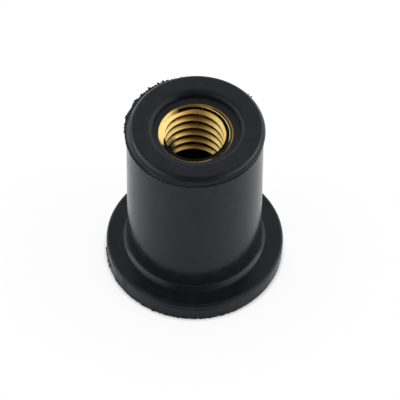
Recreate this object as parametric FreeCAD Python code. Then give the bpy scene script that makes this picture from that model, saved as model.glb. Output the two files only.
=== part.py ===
import FreeCAD, Part
import math
import os

# A rubber well nut: a flanged rubber bush with a threaded brass insert moulded into its blind end.
# The flange's outer face lies on z = 0 and the axis is Z. Lengths are in millimetres.

# Rubber moulding, outside
body_diameter = 12.3         # straight wall that fills the panel hole
flange_diameter = 16.4
flange_thickness = 2.0
flange_edge_round = 0.2      # rim edge on the panel side
root_round = 0.5             # inside corner between flange and wall
overall_height = 18.0
shoulder_width = 0.35        # bevelled and rounded edge of the blind end
shoulder_length = 0.45
shoulder_wall_round = 0.7    # where the bevel meets the wall
shoulder_end_round = 0.3     # where it meets the end face

# Brass insert
thread_size = 6.0            # outside diameter of the screw, pitch 1
thread_height = 0.425        # from the screw's outside to the thread's crests
countersink_width = 0.1      # countersink mouth outside the screw
insert_wall = 1.2            # from the screw's outside to the flats
insert_length = 6.0
collar_length = 1.7          # hexagonal collar at each end
groove_depth = 0.6           # turned groove between the collars, below the flats
bevel_width = 0.75           # turned off the corners at each end
bevel_angle = 30.0           # degrees from the end face

# Rubber moulding, inside
screw_clearance = 0.25       # between the screw and the rubber bore
rim_width = 0.275            # brass end face left bare between countersink and rubber
ledge_width = 0.575          # low rubber ledge around the brass
ledge_rise = 0.15
step_height = 0.8            # steep step from the ledge up to the end face
mouth_round = 0.55           # large round that makes the step's edge a dish

# Places and radii that follow
axis_point = FreeCAD.Vector(0, 0, 0)
axis_direction = FreeCAD.Vector(0, 0, 1)
hexagon_sides = 6
body_radius = body_diameter / 2
flange_radius = flange_diameter / 2
screw_radius = thread_size / 2
crest_radius = screw_radius - thread_height
countersink_radius = screw_radius + countersink_width
countersink_depth = countersink_radius - crest_radius
flat_radius = screw_radius + insert_wall
corner_radius = flat_radius / math.cos(math.pi / hexagon_sides)
groove_radius = flat_radius - groove_depth
bore_radius = screw_radius + screw_clearance
ledge_radius = countersink_radius + rim_width
mouth_radius = ledge_radius + ledge_width
ledge_height = overall_height - step_height
insert_top = ledge_height - ledge_rise
insert_bottom = insert_top - insert_length


def free_length(corners, points, place, neighbour):
    # How far an arc may reach along a side: most of it, or under half where the other corner is rounded too
    share = 0.45 if corners[neighbour][2] > 0 else 0.9
    return share * (points[neighbour] - points[place]).Length


def corner_arc(before, here, after, radius, longest_reach):
    # Start, middle and end of the arc that rounds a corner
    to_before = before - here
    to_after = after - here
    half_angle = to_before.getAngle(to_after) / 2
    reach = min(radius / math.tan(half_angle), longest_reach)
    to_before.normalize()
    to_after.normalize()
    inward = (to_before + to_after).normalize()
    arc_radius = reach * math.tan(half_angle)
    middle_distance = arc_radius / math.sin(half_angle) - arc_radius
    return here + to_before * reach, here + inward * middle_distance, here + to_after * reach


def turned_solid(corners):
    # Turns an outline of (radius, height, round) corners about the axis
    points = [FreeCAD.Vector(radius, 0, height) for radius, height, _ in corners]
    count = len(corners)
    arcs = []
    for place in range(count):
        here = points[place]
        edge_round = corners[place][2]
        previous = (place - 1) % count
        following = (place + 1) % count
        if edge_round > 0:
            longest_reach = min(free_length(corners, points, place, previous),
                                free_length(corners, points, place, following))
            arcs.append(corner_arc(points[previous], here, points[following], edge_round, longest_reach))
        else:
            arcs.append((here, here, here))
    edges = []
    for place in range(count):
        start, middle, end = arcs[place]
        if corners[place][2] > 0:
            edges.append(Part.Arc(start, middle, end).toShape())
        edges.append(Part.makeLine(end, arcs[(place + 1) % count][0]))
    return Part.Face(Part.Wire(edges)).revolve(axis_point, axis_direction, 360)


def hexagonal_bar():
    corners = []
    for side in range(hexagon_sides + 1):
        angle = 2 * math.pi * side / hexagon_sides
        x = corner_radius * math.cos(angle)
        y = corner_radius * math.sin(angle)
        corners.append(FreeCAD.Vector(x, y, insert_bottom))
    return Part.Face(Part.makePolygon(corners)).extrude(axis_direction * insert_length)


def insert_outside():
    # Hexagonal bar with its corners bevelled at both ends and a round groove between two collars
    turning_radius = 1.1 * corner_radius
    end_radius = corner_radius - bevel_width
    bevel_height = (turning_radius - end_radius) * math.tan(math.radians(bevel_angle))
    turned = turned_solid([
        (0, insert_bottom, 0),
        (end_radius, insert_bottom, 0),
        (turning_radius, insert_bottom + bevel_height, 0),
        (turning_radius, insert_bottom + collar_length, 0),
        (groove_radius, insert_bottom + collar_length, 0),
        (groove_radius, insert_top - collar_length, 0),
        (turning_radius, insert_top - collar_length, 0),
        (turning_radius, insert_top - bevel_height, 0),
        (end_radius, insert_top, 0),
        (0, insert_top, 0),
    ])
    return hexagonal_bar().common(turned)


def threaded_hole():
    # Wall at the thread's crests, with a countersink at each end
    return turned_solid([
        (0, insert_bottom, 0),
        (countersink_radius, insert_bottom, 0),
        (crest_radius, insert_bottom + countersink_depth, 0),
        (crest_radius, insert_top - countersink_depth, 0),
        (countersink_radius, insert_top, 0),
        (0, insert_top, 0),
    ])


def rubber_outside():
    # Flange, wall, shoulder, end face, dished step and ledge, solid down to the axis
    return turned_solid([
        (0, 0, 0),
        (flange_radius, 0, 0),
        (flange_radius, flange_thickness, flange_edge_round),
        (body_radius, flange_thickness, root_round),
        (body_radius, overall_height - shoulder_length, shoulder_wall_round),
        (body_radius - shoulder_width, overall_height, shoulder_end_round),
        (mouth_radius, overall_height, mouth_round),
        (mouth_radius, ledge_height, 0),
        (ledge_radius, insert_top, 0),
        (0, insert_top, 0),
    ])


def brass_insert():
    return insert_outside().cut(threaded_hole())


def rubber_body():
    # The moulding closes on the insert's outside, so the cavity is the insert's own shape
    screw_bore = Part.makeCylinder(bore_radius, insert_bottom, axis_point, axis_direction)
    return rubber_outside().cut(insert_outside()).cut(screw_bore)


os.makedirs("parts", exist_ok=True)
for node_name, node_shape in (("rubber_body", rubber_body()), ("brass_insert", brass_insert())):
    node_shape.exportStep("parts/" + node_name + ".step")
    print(node_name, round(node_shape.Volume, 2), "cubic mm,", len(node_shape.Solids), "solid")
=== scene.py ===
import bpy
import bmesh
import math
from mathutils import Matrix, Vector, noise


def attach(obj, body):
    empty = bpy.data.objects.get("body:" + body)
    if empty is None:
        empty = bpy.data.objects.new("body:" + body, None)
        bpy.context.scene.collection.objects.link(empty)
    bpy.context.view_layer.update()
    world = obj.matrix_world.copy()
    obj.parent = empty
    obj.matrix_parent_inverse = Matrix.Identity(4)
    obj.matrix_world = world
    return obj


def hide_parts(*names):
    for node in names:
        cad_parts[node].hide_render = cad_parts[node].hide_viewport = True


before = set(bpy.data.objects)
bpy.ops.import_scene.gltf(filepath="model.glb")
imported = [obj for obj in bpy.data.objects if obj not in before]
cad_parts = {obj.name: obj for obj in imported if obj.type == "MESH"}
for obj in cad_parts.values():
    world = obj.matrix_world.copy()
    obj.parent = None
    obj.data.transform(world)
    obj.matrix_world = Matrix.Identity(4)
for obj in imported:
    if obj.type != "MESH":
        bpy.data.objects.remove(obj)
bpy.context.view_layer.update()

mm = 0.001                       # settings are millimetres, Blender works in metres
mergeDistance = 0.0005           # corners nearer than this become one
zAxis = Vector((0, 0, 1))
print("frame loaded:", sorted(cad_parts))


# Shared modelling steps

def roundCorner(bm, corner, radius, segments):
    sides = [edge.other_vert(corner).co - corner.co for edge in corner.link_edges]
    reach = radius * mm / math.tan(sides[0].angle(sides[1]) / 2)
    bmesh.ops.bevel(bm, geom=[corner], offset=reach, offset_type="OFFSET", affect="VERTICES",
                    segments=segments, profile=0.5, material=-1)


def closeMesh(bm):
    bmesh.ops.remove_doubles(bm, verts=bm.verts, dist=mergeDistance * mm)
    bmesh.ops.dissolve_degenerate(bm, edges=bm.edges, dist=mergeDistance * mm)
    bmesh.ops.recalc_face_normals(bm, faces=bm.faces)


def turnOutline(corners, segments):
    # corners are (radius, height, round, round segments), joined in a ring and spun about Z
    bm = bmesh.new()
    outline = [bm.verts.new((corner[0] * mm, 0, corner[1] * mm)) for corner in corners]
    for here, after in zip(outline, outline[1:] + outline[:1]):
        bm.edges.new((here, after))
    for vert, (_, _, edgeRound, roundSegments) in zip(outline, corners):
        if edgeRound > 0:
            roundCorner(bm, vert, edgeRound, roundSegments)
    bmesh.ops.spin(bm, geom=bm.verts[:] + bm.edges[:], cent=(0, 0, 0), axis=zAxis,
                   angle=math.tau, steps=segments, use_merge=True)
    closeMesh(bm)
    return bm


def makeObject(name, bm):
    mesh = bpy.data.meshes.new(name)
    bm.to_mesh(mesh)
    bm.free()
    piece = bpy.data.objects.new(name, mesh)
    bpy.context.scene.collection.objects.link(piece)
    return piece


def carve(piece, tool, operation):
    # the Boolean is applied at once, and its tool is thrown away
    step = piece.modifiers.new("carve", "BOOLEAN")
    step.operation = operation
    step.solver = "EXACT"
    step.object = tool
    depsgraph = bpy.context.evaluated_depsgraph_get()
    carved = bpy.data.meshes.new_from_object(piece.evaluated_get(depsgraph))
    piece.modifiers.clear()
    piece.data = carved
    bpy.data.objects.remove(tool)


def finishMesh(piece, material, sharpAngle):
    bm = bmesh.new()
    bm.from_mesh(piece.data)
    closeMesh(bm)
    bm.to_mesh(piece.data)
    bm.free()
    piece.data.shade_smooth()
    piece.data.set_sharp_from_angle(angle=math.radians(sharpAngle))
    piece.data.materials.clear()
    piece.data.materials.append(material)
    print(piece.name, "has", len(piece.data.polygons), "faces")


# Shared material steps

def addNode(tree, kind, values=None, **settings):
    made = tree.nodes.new(kind)
    for setting, value in settings.items():
        setattr(made, setting, value)
    for socket, value in (values or {}).items():
        made.inputs[socket].default_value = value
    return made


def feed(tree, socket, value):
    # a socket takes another node's output or a fixed value
    if isinstance(value, bpy.types.NodeSocket):
        tree.links.new(value, socket)
    else:
        socket.default_value = value


def addRange(tree, source, fromMin, fromMax, toMin, toMax):
    spread = addNode(tree, "ShaderNodeMapRange",
                     {"From Min": fromMin, "From Max": fromMax, "To Min": toMin, "To Max": toMax})
    tree.links.new(source, spread.inputs["Value"])
    return spread.outputs["Result"]


def addMath(tree, operation, first, second=0):
    step = addNode(tree, "ShaderNodeMath", operation=operation)
    feed(tree, step.inputs[0], first)
    feed(tree, step.inputs[1], second)
    return step.outputs["Value"]


def addMix(tree, factor, first, second):
    # a colour mix has its colours on sockets 6 and 7
    blend = addNode(tree, "ShaderNodeMix", data_type="RGBA")
    feed(tree, blend.inputs[0], factor)
    feed(tree, blend.inputs[6], first)
    feed(tree, blend.inputs[7], second)
    return blend.outputs[2]


grainSettings = {
    "detail": 3.0,
    "roughness": 0.6,
    "bumpDepth": 0.02,
}


def makeGrainGroup():
    # slow patches and a fine grain, used by the rubber and the brass
    group = bpy.data.node_groups.new("mouldedGrain", "ShaderNodeTree")
    face = group.interface
    face.new_socket("Vector", in_out="INPUT", socket_type="NodeSocketVector")
    face.new_socket("Patch Scale", in_out="INPUT", socket_type="NodeSocketFloat")
    face.new_socket("Grain Scale", in_out="INPUT", socket_type="NodeSocketFloat")
    face.new_socket("Patches", in_out="OUTPUT", socket_type="NodeSocketFloat")
    face.new_socket("Grain", in_out="OUTPUT", socket_type="NodeSocketFloat")
    entry = addNode(group, "NodeGroupInput")
    result = addNode(group, "NodeGroupOutput")
    values = {"Detail": grainSettings["detail"], "Roughness": grainSettings["roughness"]}
    for scaleName, output in (("Patch Scale", "Patches"), ("Grain Scale", "Grain")):
        cloud = addNode(group, "ShaderNodeTexNoise", values)
        group.links.new(entry.outputs["Vector"], cloud.inputs["Vector"])
        group.links.new(entry.outputs[scaleName], cloud.inputs["Scale"])
        group.links.new(cloud.outputs["Fac"], result.inputs[output])
    return group


grainGroup = makeGrainGroup()


def startMaterial(name):
    material = bpy.data.materials.new(name)
    material.use_nodes = True
    material.node_tree.nodes.clear()
    return material, material.node_tree


def addGrain(tree, vector, look):
    grain = addNode(tree, "ShaderNodeGroup", node_tree=grainGroup)
    grain.inputs["Patch Scale"].default_value = look["patchScale"]
    grain.inputs["Grain Scale"].default_value = look["grainScale"]
    tree.links.new(vector, grain.inputs["Vector"])
    return grain


def finishMaterial(tree, shader, grain, look):
    bump = addNode(tree, "ShaderNodeBump",
                   {"Strength": look["grainBump"], "Distance": grainSettings["bumpDepth"] * mm})
    tree.links.new(grain.outputs["Grain"], bump.inputs["Height"])
    tree.links.new(bump.outputs["Normal"], shader.inputs["Normal"])
    output = addNode(tree, "ShaderNodeOutputMaterial")
    tree.links.new(shader.outputs["BSDF"], output.inputs["Surface"])


# Black rubber

rubberLook = {
    "dark": (0.0066, 0.0090, 0.0112, 1),
    "light": (0.0098, 0.0122, 0.0146, 1),
    "patchScale": 900,
    "grainScale": 9000,
    "patchRange": (0.35, 0.65),
    "roughness": (0.15, 0.23),
    "specular": 0.12,
    "dishRadii": (4.3, 4.6),         # the dished mouth, inside these, is duller
    "dishDulling": 0.22,
    "grainBump": 0.10,
}


def makeRubber(look):
    material, tree = startMaterial("blackRubber")
    place = addNode(tree, "ShaderNodeTexCoord")
    grain = addGrain(tree, place.outputs["Object"], look)
    shader = addNode(tree, "ShaderNodeBsdfPrincipled", {"Specular IOR Level": look["specular"]})
    patches = addRange(tree, grain.outputs["Patches"], *look["patchRange"], 0, 1)
    tree.links.new(addMix(tree, patches, look["dark"], look["light"]), shader.inputs["Base Color"])

    flat = addNode(tree, "ShaderNodeVectorMath", {1: (1, 1, 0)}, operation="MULTIPLY")
    radius = addNode(tree, "ShaderNodeVectorMath", operation="LENGTH")
    tree.links.new(place.outputs["Object"], flat.inputs[0])
    tree.links.new(flat.outputs["Vector"], radius.inputs[0])
    inner, outer = look["dishRadii"]
    dull = addRange(tree, radius.outputs["Value"], inner * mm, outer * mm, look["dishDulling"], 0)
    shine = addRange(tree, grain.outputs["Patches"], *look["patchRange"], *look["roughness"])
    tree.links.new(addMath(tree, "ADD", shine, dull), shader.inputs["Roughness"])
    finishMaterial(tree, shader, grain, look)
    return material


# Turned brass, with the insert's sizes first because the rubber film and painted shade on it follow
# them

insert = {
    "top": 17.05,
    "bottom": 11.05,
    "sides": 6,
    "flatRadius": 4.2,
    "grooveRadius": 3.6,
    "collar": 1.7,
    "bevelWidth": 0.75,
    "bevelAngle": 30.0,
    "turningRoom": 1.1,                      # the turned blank reaches past the hexagon's corners
    "endMargin": 0.001,                      # and past its ends, so that no faces coincide
    "crestRadius": 2.65,
    "rootRadius": 3.0,
    "pitch": 1.0,
    "crestFlat": 0.30,
    "flankAngle": 30.0,
    "crestTop": 16.266,                      # upper edge of a crest, on the +X side
    "turnsBelow": 7,                         # turns of the tap from there down
    "turns": 10,
    "turnSteps": 96,
    "tapMerge": 0.003,                       # joins each turn to the next
    "tapOverrun": 0.3,                       # past both ends of the insert
    "cutTolerance": 0.0001,
    "threadOffset": (-0.055, 0, 0),          # thread and countersink run a little off centre
    "countersinkRadius": 3.17,
    "countersinkOffset": (-0.083, -0.098, 0),
    "lowerCountersink": 3.1,
    "countersinkSlope": 0.577,               # depth for each millimetre of width
    "countersinkOverlap": 0.2,               # its tool reaches inside the crests
    "countersinkRoom": 0.4,                  # and out of the insert
    "edgeBreak": 0.05,
    "edgeSlope": 0.35,                       # depth of the edge break for each millimetre of width
    "segments": 192,
    "sharpAngle": 25,
}

# sides are given as the cosine to the right (+X) or to the far side (+Y), heights in millimetres
brassLook = {
    "bright": (0.76, 0.60, 0.24, 1),
    "brown": (0.76, 0.42, 0.09, 1),
    "farShadeFrom": 0.6,                # painted shade: from here the far side, whose reflections are darker, is painted browner and darker
    "farShade": 0.75,
    "patchScale": 700,
    "grainScale": 7000,
    "brownRange": (0.45, 0.75),
    "shineRange": (0.3, 0.7),
    "roughness": (0.22, 0.34),
    "grainBump": 0.12,
    # dark sheet: rubber film on the end face, painted shade on the countersink and in the thread
    "filmAndShade": (0.005, 0.0045, 0.0035, 1),
    "filmSpecular": 0.04,
    "filmDulling": 0.4,
    "filmStart": (-0.95, -0.75),     # neither film nor painted shade at the far left
    "filmStartLean": 0.35,           # and it starts later on the far side
    "filmRight": (0.1, 0.5),         # full film from here to the right
    "filmLow": 16.71,                # painted shade reaches this far down into the thread at the far side
    "shadeSlant": 0.29,               # and deeper than that at the right
    "slantPower": 3,
    "filmWidth": 0.012,              # how near to the cone a spot counts as on it
    "filmBlur": 1.4,
    "coneShadeTaper": 1.8,                # painted shade on the cone reaches farther round at its foot than at its rim
    "coneShadeTaperRange": (-0.66, -0.54),
    "faceStep": (-0.002, 0.001),     # heights around the mouth where the end face takes over
    "filmOnFace": 0.84,
    "filmCover": (0.92, 1),
    "coverRange": (0.35, 0.65),
    "filmWorn": (3.38, 3.43),        # radii over which it wears thin on the end face
    "filmLost": 0.3,
    "rubbedRange": (-0.3, -0.1),     # it is rubbed off the right edge from here to the far side
    "deepShade": 0.93,                     # painted shade low in the thread, at the left, where little light reaches
    "deepShadeLeft": (-0.74, -0.58),
    "deepShadeHeights": (13.5, 13.9),
}


def addAround(tree, place):
    # radius from the countersink's axis, and how far a spot lies to the right, to the back and up
    centre = Vector(insert["countersinkOffset"]) * mm
    centred = addNode(tree, "ShaderNodeVectorMath", {1: centre}, operation="SUBTRACT")
    split = addNode(tree, "ShaderNodeSeparateXYZ")
    tree.links.new(place, centred.inputs[0])
    tree.links.new(centred.outputs["Vector"], split.inputs["Vector"])
    along, across = split.outputs["X"], split.outputs["Y"]
    squares = addMath(tree, "ADD", addMath(tree, "MULTIPLY", along, along),
                      addMath(tree, "MULTIPLY", across, across))
    radius = addMath(tree, "SQRT", squares)
    toRight = addMath(tree, "DIVIDE", along, radius)
    toFar = addMath(tree, "DIVIDE", across, radius)
    return radius, toRight, toFar, split.outputs["Z"]


def addFilmAndShade(tree, around, patches, look):
    # a dark sheet over the insert's mouth: rubber film on the end face, and painted shade on the
    # countersink and deep into the thread at the right; none at the left
    radius, toRight, toFar, height = around
    rim, slope = insert["countersinkRadius"], insert["countersinkSlope"]
    mouth = insert["top"] - insert["edgeSlope"] * insert["edgeBreak"]
    width = look["filmWidth"] * mm
    lean = addMath(tree, "MULTIPLY", toFar, look["filmStartLean"])
    notLeft = addRange(tree, addMath(tree, "SUBTRACT", toRight, lean), *look["filmStart"], 0, 1)
    right = addRange(tree, toRight, *look["filmRight"], 0, 1)
    under, over = look["faceStep"]
    above = addRange(tree, height, (mouth + under) * mm, (mouth + over) * mm, 0, 1)

    # painted shade on the thread and the countersink
    steep = addMath(tree, "POWER", toRight, look["slantPower"])
    depth = addMath(tree, "ADD", height, addMath(tree, "MULTIPLY", steep, look["shadeSlant"] * mm))
    low = look["filmLow"] * mm
    onThread = addRange(tree, depth, low - width, low + width, 0, 1)
    coneHeight = addMath(tree, "SUBTRACT", height, addMath(tree, "MULTIPLY", radius, slope))
    offCone = addMath(tree, "SUBTRACT", coneHeight, (mouth - rim * slope) * mm)
    onCone = addRange(tree, addMath(tree, "ABSOLUTE", offCone), width, look["filmBlur"] * width, 1, 0)
    below = addMath(tree, "SUBTRACT", mouth * mm, height)
    below = addMath(tree, "MULTIPLY", below, look["coneShadeTaper"] / mm)
    taper = addRange(tree, addMath(tree, "SUBTRACT", toFar, below), *look["coneShadeTaperRange"], 1, 0)
    onCone = addMath(tree, "MULTIPLY", onCone, taper)
    onWall = addMath(tree, "SUBTRACT", addMath(tree, "MAXIMUM", onThread, onCone), above)
    onWall = addMath(tree, "MULTIPLY", onWall, addMath(tree, "MAXIMUM", notLeft, onCone))

    # on the end face, worn at the outside and rubbed off the edge at the right
    inner, outer = look["filmWorn"]
    worn = addRange(tree, radius, inner * mm, outer * mm, 1, 1 - look["filmLost"])
    thin = addMath(tree, "MULTIPLY", notLeft, look["filmOnFace"])
    onFace = addMath(tree, "MULTIPLY", addMath(tree, "MAXIMUM", thin, right), worn)
    edge = (rim + insert["edgeBreak"]) * mm
    atEdge = addRange(tree, radius, edge, edge + width, 1, 0)
    rubbed = addMath(tree, "MULTIPLY", right, addRange(tree, toFar, *look["rubbedRange"], 0, 1))
    onFace = addMath(tree, "SUBTRACT", onFace, addMath(tree, "MULTIPLY", atEdge, rubbed))
    cover = addRange(tree, patches, *look["coverRange"], *look["filmCover"])
    onFace = addMath(tree, "MULTIPLY", addMath(tree, "MULTIPLY", onFace, cover), above)

    # painted shade low in the thread, at the left
    lowest, highest = look["deepShadeHeights"]
    deepShade = addMath(tree, "MULTIPLY", addRange(tree, toRight, *look["deepShadeLeft"], look["deepShade"], 0),
                  addRange(tree, height, lowest * mm, highest * mm, 1, 0))
    filmAndShade = addMath(tree, "MAXIMUM", addMath(tree, "MAXIMUM", onWall, onFace), deepShade)
    return addRange(tree, filmAndShade, 0, 1, 0, 1)      # kept between 0 and 1


def makeBrass(look):
    material, tree = startMaterial("turnedBrass")
    place = addNode(tree, "ShaderNodeTexCoord")
    grain = addGrain(tree, place.outputs["Object"], look)
    shader = addNode(tree, "ShaderNodeBsdfPrincipled", {"Specular IOR Level": look["filmSpecular"]})
    around = addAround(tree, place.outputs["Object"])
    toFar = around[2]
    # painted shade: the far side of the brass is painted browner and darker
    farShaded = addRange(tree, toFar, look["farShadeFrom"], 1, 0, look["farShade"])
    patches = addRange(tree, grain.outputs["Patches"], *look["brownRange"], 0, 1)
    patches = addMath(tree, "MAXIMUM", patches, farShaded)
    metal = addMix(tree, patches, look["bright"], look["brown"])
    # rubber film and painted shade darken the mouth and the top of the thread
    filmAndShade = addFilmAndShade(tree, around, grain.outputs["Patches"], look)
    tree.links.new(addMix(tree, filmAndShade, metal, look["filmAndShade"]), shader.inputs["Base Color"])
    tree.links.new(addRange(tree, filmAndShade, 0, 1, 1, 0), shader.inputs["Metallic"])
    bare = addRange(tree, grain.outputs["Patches"], *look["shineRange"], *look["roughness"])
    dull = addRange(tree, filmAndShade, 0, 1, 0, look["filmDulling"])
    tree.links.new(addMath(tree, "ADD", bare, dull), shader.inputs["Roughness"])
    finishMaterial(tree, shader, grain, look)
    return material


rubberMaterial = makeRubber(rubberLook)
brassMaterial = makeBrass(brassLook)
print("materials made")


# Brass insert: a hexagonal bar turned at its ends and middle, tapped and countersunk

def cornerRadius():
    return insert["flatRadius"] / math.cos(math.pi / insert["sides"])


def hexagonalBar():
    bm = bmesh.new()
    bmesh.ops.create_circle(bm, segments=insert["sides"], radius=cornerRadius() * mm, cap_ends=True,
                            matrix=Matrix.Translation((0, 0, insert["bottom"] * mm)))
    bmesh.ops.rotate(bm, verts=bm.verts, cent=(0, 0, 0),
                     matrix=Matrix.Rotation(math.pi / insert["sides"], 3, "Z"))
    raised = bmesh.ops.extrude_face_region(bm, geom=bm.faces[:])
    top = [part for part in raised["geom"] if isinstance(part, bmesh.types.BMVert)]
    bmesh.ops.translate(bm, verts=top, vec=zAxis * (insert["top"] - insert["bottom"]) * mm)
    closeMesh(bm)
    return makeObject("hexagonalBar", bm)


def turnedBlank():
    # what the lathe leaves of the bar: bevelled ends and a round groove between two collars
    top, bottom = insert["top"], insert["bottom"]
    collar, groove, margin = insert["collar"], insert["grooveRadius"], insert["endMargin"]
    outer = insert["turningRoom"] * cornerRadius()
    endRadius = cornerRadius() - insert["bevelWidth"]
    bevelHeight = (outer - endRadius) * math.tan(math.radians(insert["bevelAngle"]))
    corners = [
        (0, bottom - margin),
        (endRadius, bottom - margin),
        (outer, bottom + bevelHeight),
        (outer, bottom + collar),
        (groove, bottom + collar),
        (groove, top - collar),
        (outer, top - collar),
        (outer, top - bevelHeight),
        (endRadius, top + margin),
        (0, top + margin),
    ]
    bm = turnOutline([(*corner, 0, 1) for corner in corners], insert["segments"])
    return makeObject("turnedBlank", bm)


def insertOutside():
    bar = hexagonalBar()
    carve(bar, turnedBlank(), "INTERSECT")
    return bar


def tapTool():
    # one pitch of the thread's section, run up a helix and cut flat above and below the insert
    crest, root, pitch = insert["crestRadius"], insert["rootRadius"], insert["pitch"]
    flank = (root - crest) * math.tan(math.radians(insert["flankAngle"]))
    lowest = insert["crestTop"] - insert["turnsBelow"] * pitch
    opening = lowest + pitch - insert["crestFlat"]
    section = [
        (crest, lowest),
        (root, lowest + flank),
        (root, opening - flank),
        (crest, opening),
        (crest, lowest + pitch),
    ]
    bm = bmesh.new()
    verts = [bm.verts.new((radius * mm, 0, height * mm)) for radius, height in section]
    for here, after in zip(verts, verts[1:]):
        bm.edges.new((here, after))
    turns = insert["turns"]
    steps = insert["turnSteps"] * turns
    bmesh.ops.spin(bm, geom=bm.verts[:] + bm.edges[:], cent=(0, 0, 0), axis=zAxis,
                   dvec=zAxis * pitch * turns * mm / steps, angle=math.tau * turns, steps=steps)
    bmesh.ops.remove_doubles(bm, verts=bm.verts, dist=insert["tapMerge"] * mm)
    overrun = insert["tapOverrun"]
    for height, side in ((insert["top"] + overrun, 1), (insert["bottom"] - overrun, -1)):
        bmesh.ops.bisect_plane(bm, geom=bm.verts[:] + bm.edges[:] + bm.faces[:], clear_outer=True,
                               dist=insert["cutTolerance"] * mm,
                               plane_co=zAxis * height * mm, plane_no=zAxis * side)
    bmesh.ops.holes_fill(bm, edges=[edge for edge in bm.edges if edge.is_boundary])
    bmesh.ops.recalc_face_normals(bm, faces=bm.faces)
    bmesh.ops.translate(bm, verts=bm.verts, vec=Vector(insert["threadOffset"]) * mm)
    return makeObject("tapTool", bm)


def countersinkTool(height, side, mouth, offset):
    # a wide cone with a small flatter edge break at its mouth
    edge = insert["edgeBreak"]
    fall = insert["edgeSlope"] * edge
    width = mouth - insert["crestRadius"] + insert["countersinkOverlap"]
    depth = width * insert["countersinkSlope"]
    room = insert["countersinkRoom"]
    reach = [
        (0, -depth),
        (mouth - width, -depth),
        (mouth, 0),
        (mouth + edge, fall),
        (mouth + edge, room),
        (0, room),
    ]
    corners = [(radius, height + side * (rise - fall), 0, 1) for radius, rise in reach]
    bm = turnOutline(corners, insert["segments"])
    bmesh.ops.translate(bm, verts=bm.verts, vec=Vector(offset) * mm)
    return makeObject("countersinkTool", bm)


def makeBrassInsert():
    piece = insertOutside()
    piece.name = "brassInsert"
    carve(piece, tapTool(), "DIFFERENCE")
    upper = (insert["top"], 1, insert["countersinkRadius"], insert["countersinkOffset"])
    lower = (insert["bottom"], -1, insert["lowerCountersink"], insert["threadOffset"])
    for place in (upper, lower):
        carve(piece, countersinkTool(*place), "DIFFERENCE")
    return piece


brassPiece = makeBrassInsert()
finishMesh(brassPiece, brassMaterial, insert["sharpAngle"])


# Rubber body: flange, wall, off-centre blind end and dished mouth, with torn flash from the mould

rubber = {
    "segments": 600,
    "sharpAngle": 35,
    "boreRadius": 3.25,
    "boreRound": 0.12,
    "flangeRadius": 8.14,
    "flangeHeight": 2.0,
    "flangeRound": 0.32,
    "creaseRadius": 8.03,            # fine crease around the rim
    "creaseHeight": 1.46,
    "creaseWidth": 0.18,
    "rimRadius": 8.10,               # rim below the crease
    "rimHeight": 0.30,
    "rimRing": 0.05,                 # a ring above that height keeps the rim smooth over the torn lip
    "lipRadius": 8.06,               # ragged lip at the bottom
    "lipHeights": (0.03, 0.15),
    "lipRing": 0.2,                  # and one inside the lip keeps the underside flat
    "rootWidth": 0.37,               # the root is a steep bevel, rounded at both ends
    "rootHeight": 0.49,
    "rootFoot": 0.15,
    "rootRound": 0.5,
    "wallRadius": 6.15,
    "shoulderWidth": 0.35,
    "shoulderLength": 0.45,
    "wallRound": 0.7,
    "endRound": 0.3,
    "endHeight": 18.0,
    "mouthRadius": 3.95,
    "mouthRound": 0.55,
    "ledgeHeight": 17.20,
    "ledgeRadius": 3.36,
    "ledgeOverlap": 0.1,             # the ledge runs on into the insert's place, which is cut out later
    "boreCover": 0.6,                # from the insert's top down to the bore's end, in that place too
    "partingHeight": 17.06,
    "partingReach": 0.03,
    "partingThickness": 0.18,
    "partingEdge": 0.07,             # blunt outer edge of the flash
    "ringTolerance": 0.002,          # a ring that tears is found by its height
    "ringMargin": 0.01,              # and its radius
    "fineShare": 0.5,                # smaller teeth on the torn edge
    "fineGrain": 2.3,
    "farthest": 8.19,                # nothing torn stands out more than this
}

# each tear in the flash is (middle angle, half width, reach)
partingFlash = {
    "tears": [(125, 35, 0.44), (150, 38, 0.30), (190, 40, 0.12), (43, 1.3, 0.58), (40, 1.3, 0.54),
              (250, 70, 0.15), (300, 60, 0.12), (350, 50, 0.08)],
    "grain": 34,
    "seed": 3.1,
    "least": 0.6,
    "tooth": 0.85,
}
lipFlash = {
    "tears": [(205, 50, 0.15), (262, 50, 0.17)],
    "grain": 30,
    "seed": 7.7,
    "least": 0.1,
    "tooth": 1.1,
}
creaseFlash = {
    "tears": [(192, 28, 0.16)],
    "grain": 30,
    "seed": 5.2,
    "least": 0.2,
    "tooth": 1.1,
}

# what was moulded a little off centre: inner and outer radius, the height it lies above, and offset
shiftedRings = [
    (7, 9, rubber["rimHeight"] - 0.05, (0.045, -0.03)),      # flange
    (5, 7, rubber["partingHeight"] + 0.15, (0.15, 0.03)),    # shoulder
    (3.9, 5, insert["top"] + 0.1, (0.12, 0)),                # mouth
    (3.2, 3.9, insert["top"] - 0.1, (0.055, -0.03)),         # ledge
]


def tornReach(angle, flash):
    spot = Vector((math.cos(angle), math.sin(angle), flash["seed"])) * flash["grain"]
    teeth = abs(noise.noise(spot)) + rubber["fineShare"] * abs(noise.noise(spot * rubber["fineGrain"]))
    reach = 0
    for middle, halfWidth, longest in flash["tears"]:
        away = abs((math.degrees(angle) - middle + 180) % 360 - 180) / halfWidth
        if away < 1:
            reach = max(reach, longest * (1 - away ** 2) ** 0.5)
    return reach * (flash["least"] + flash["tooth"] * teeth)


def tearRing(bm, height, lowestRadius, flash):
    for vert in bm.verts:
        radius = vert.co.xy.length
        onRing = abs(vert.co.z - height * mm) < rubber["ringTolerance"] * mm
        if onRing and radius > lowestRadius * mm:
            angle = math.atan2(vert.co.y, vert.co.x)
            grown = radius + tornReach(angle, flash) * mm
            grown = min(grown, rubber["farthest"] * mm)
            vert.co.xy = vert.co.xy * (grown / radius)


def shiftRing(bm, innerRadius, outerRadius, lowest, offset):
    ring = [vert for vert in bm.verts
            if vert.co.z > lowest * mm and innerRadius * mm < vert.co.xy.length < outerRadius * mm]
    bmesh.ops.translate(bm, verts=ring, vec=Vector((*offset, 0)) * mm)


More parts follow.
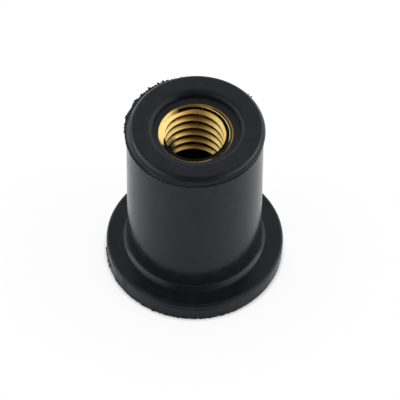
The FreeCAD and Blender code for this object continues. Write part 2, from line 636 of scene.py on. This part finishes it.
def rubberOutside():
    fin, edge = rubber["partingThickness"] / 2, rubber["partingEdge"] / 2
    parting, wall, end = rubber["partingHeight"], rubber["wallRadius"], rubber["endHeight"]
    flange, flangeTop = rubber["flangeRadius"], rubber["flangeHeight"]
    rim, rimHeight = rubber["rimRadius"], rubber["rimHeight"]
    crease, groove = rubber["creaseHeight"], rubber["creaseWidth"] / 2
    lip, (lipLow, lipHigh) = rubber["lipRadius"], rubber["lipHeights"]
    mouth, ledge, overlap = rubber["mouthRadius"], rubber["ledgeRadius"], rubber["ledgeOverlap"]
    ledgeSlope = (rubber["ledgeHeight"] - insert["top"]) / (mouth - ledge)
    corners = [
        (rubber["boreRadius"], 0, rubber["boreRound"], 4),
        (lip - rubber["lipRing"], 0, 0, 1),
        (lip - lipLow, 0, 0, 1),
        (lip, lipLow, 0, 1),
        (lip, lipHigh, 0, 1),
        (rim, rimHeight, 0, 1),
        (rim, rimHeight + rubber["rimRing"], 0, 1),
        (rim, crease - groove, 0, 1),
        (rubber["creaseRadius"], crease, 0, 1),
        (flange, crease + groove, 0, 1),
        (flange, flangeTop, rubber["flangeRound"], 12),
        (wall + rubber["rootWidth"], flangeTop, rubber["rootFoot"], 4),
        (wall, flangeTop + rubber["rootHeight"], rubber["rootRound"], 10),
        (wall, parting - fin, 0, 1),
        (wall + rubber["partingReach"], parting - edge, 0, 1),
        (wall + rubber["partingReach"], parting + edge, 0, 1),
        (wall, parting + fin, 0, 1),
        (wall, end - rubber["shoulderLength"], rubber["wallRound"], 8),
        (wall - rubber["shoulderWidth"], end, rubber["endRound"], 8),
        (mouth, end, rubber["mouthRound"], 14),
        (mouth, rubber["ledgeHeight"], 0, 1),
        (ledge - overlap, insert["top"] - overlap * ledgeSlope, 0, 1),
        (rubber["boreRadius"], insert["top"] - rubber["boreCover"], 0, 1),
    ]
    return turnOutline(corners, rubber["segments"])


def makeRubberBody():
    bm = rubberOutside()
    margin = rubber["ringMargin"]
    for side in (-0.5, 0.5):
        height = rubber["partingHeight"] + side * rubber["partingEdge"]
        tearRing(bm, height, rubber["wallRadius"], partingFlash)
    for height in rubber["lipHeights"]:
        tearRing(bm, height, rubber["lipRadius"] - margin, lipFlash)
    tearRing(bm, rubber["creaseHeight"], rubber["creaseRadius"] - margin, creaseFlash)
    for ring in shiftedRings:
        shiftRing(bm, *ring)
    body = makeObject("rubberBody", bm)
    carve(body, insertOutside(), "DIFFERENCE")
    return body


rubberPiece = makeRubberBody()
finishMesh(rubberPiece, rubberMaterial, rubber["sharpAngle"])

for piece, nodeName, slotName in ((rubberPiece, "rubber_body", "black_rubber"),
                                  (brassPiece, "brass_insert", "turned_brass")):
    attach(piece, "root")
    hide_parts(nodeName)
print("pieces placed")


# Pale floor, soft light from all round that is dark towards the camera, and the camera

studio = {
    "floorRadius": 3.0,              # in metres
    "floorSegments": 128,
    "floorDrop": 0.01,
    "floorColour": (0.96, 0.96, 0.96, 1),
    "floorGlow": 0.88,
    "shadowSeen": (8.0, 8.45),       # the floor is left dark under the part, and fades in around it
    "shadowReflected": (8.2, 10.5),
    # painted light: the floor under the part still glows a little, which lights the bore
    "underPartGlow": 0.03,
    "white": (1, 1, 1, 1),
    "darkLevel": 0.10,
    "worldLevel": 1.2,
    "rightward": 0.15,               # the right side of the room is the brighter one
    "sideStrips": 5.0,               # extra light low at both sides
    "stripHeight": 0.45,
}

# unlit places in the room: direction, and the angles at which the dark is full and gone
darkPlaces = [((0, -0.55, 0.835), 14, 40), ((0, -0.996, 0.087), 27, 45)]


def makeFloor():
    bm = bmesh.new()
    bmesh.ops.create_circle(bm, segments=studio["floorSegments"], radius=studio["floorRadius"],
                            cap_ends=True)
    floor = makeObject("paleFloor", bm)
    floor.location.z = -studio["floorDrop"] * mm
    material, tree = startMaterial("palePaper")
    path = addNode(tree, "ShaderNodeLightPath")
    paper = addNode(tree, "ShaderNodeBsdfDiffuse", {"Color": studio["floorColour"]})
    glow = addNode(tree, "ShaderNodeEmission", {"Strength": 1.0})
    blend = addNode(tree, "ShaderNodeMixShader")
    output = addNode(tree, "ShaderNodeOutputMaterial")
    place = addNode(tree, "ShaderNodeTexCoord")
    radius = addNode(tree, "ShaderNodeVectorMath", operation="LENGTH")
    tree.links.new(place.outputs["Object"], radius.inputs[0])
    seen = path.outputs["Is Camera Ray"]
    reflected = addMath(tree, "MAXIMUM", path.outputs["Is Glossy Ray"],
                        path.outputs["Is Transmission Ray"])
    shares = []
    for ray, (covered, clear) in ((seen, studio["shadowSeen"]), (reflected, studio["shadowReflected"])):
        lit = addRange(tree, radius.outputs["Value"], covered * mm, clear * mm,
                       studio["underPartGlow"], studio["floorGlow"])
        shares.append(addMath(tree, "MULTIPLY", ray, lit))
    tree.links.new(addMath(tree, "MAXIMUM", *shares), blend.inputs["Fac"])
    tree.links.new(paper.outputs["BSDF"], blend.inputs[1])
    tree.links.new(glow.outputs["Emission"], blend.inputs[2])
    tree.links.new(blend.outputs["Shader"], output.inputs["Surface"])
    floor.data.materials.append(material)


def addSides(tree, place):
    # how much brighter or darker the room is towards a side
    split = addNode(tree, "ShaderNodeSeparateXYZ")
    tree.links.new(place, split.inputs["Vector"])
    across = split.outputs["X"]
    upOrDown = addMath(tree, "ABSOLUTE", split.outputs["Z"])
    low = addRange(tree, upOrDown, 0, studio["stripHeight"], studio["sideStrips"], 0)
    strips = addMath(tree, "MULTIPLY", low, addMath(tree, "MULTIPLY", across, across))
    leaning = addRange(tree, across, -1, 1, 1 - studio["rightward"], 1 + studio["rightward"])
    return addMath(tree, "ADD", leaning, strips)


def makeWorld():
    world = bpy.data.worlds.new("studio")
    bpy.context.scene.world = world
    world.use_nodes = True
    tree = world.node_tree
    tree.nodes.clear()
    place = addNode(tree, "ShaderNodeTexCoord").outputs["Generated"]
    levels = []
    for direction, full, gone in darkPlaces:
        towards = addNode(tree, "ShaderNodeVectorMath", {1: direction}, operation="DOT_PRODUCT")
        tree.links.new(place, towards.inputs[0])
        edge, core = math.cos(math.radians(gone)), math.cos(math.radians(full))
        levels.append(addRange(tree, towards.outputs["Value"], edge, core,
                               studio["worldLevel"], studio["darkLevel"]))
    dimmed = addMath(tree, "MINIMUM", *levels)
    level = addMath(tree, "MULTIPLY", dimmed, addSides(tree, place))
    path = addNode(tree, "ShaderNodeLightPath")
    light = addNode(tree, "ShaderNodeBackground", {"Color": studio["white"]})
    white = addNode(tree, "ShaderNodeBackground", {"Color": studio["white"], "Strength": 1.0})
    blend = addNode(tree, "ShaderNodeMixShader")
    output = addNode(tree, "ShaderNodeOutputWorld")
    tree.links.new(level, light.inputs["Strength"])
    tree.links.new(path.outputs["Is Camera Ray"], blend.inputs["Fac"])
    tree.links.new(light.outputs["Background"], blend.inputs[1])
    tree.links.new(white.outputs["Background"], blend.inputs[2])
    tree.links.new(blend.outputs["Shader"], output.inputs["Surface"])


cameraView = {
    "eye": (0, -222.67, 294.68),
    "aim": (0.493, -1.153, 8.784),
    "roll": 0.527,
    "lens": 358.9,
    "sensor": 36,
    "clip": (0.01, 20),              # in metres
}


def makeCamera():
    data = bpy.data.cameras.new("photoCamera")
    data.lens = cameraView["lens"]
    data.sensor_width = cameraView["sensor"]
    data.clip_start, data.clip_end = cameraView["clip"]
    camera = bpy.data.objects.new("photoCamera", data)
    bpy.context.scene.collection.objects.link(camera)
    eye = Vector(cameraView["eye"]) * mm
    look = Vector(cameraView["aim"]) * mm - eye
    turned = look.to_track_quat("-Z", "Y").to_matrix().to_4x4()
    roll = Matrix.Rotation(math.radians(cameraView["roll"]), 4, "Z")
    camera.matrix_world = Matrix.Translation(eye) @ turned @ roll
    bpy.context.scene.camera = camera


makeFloor()
makeWorld()
makeCamera()
bpy.context.scene.view_settings.view_transform = "Standard"
print("studio made")
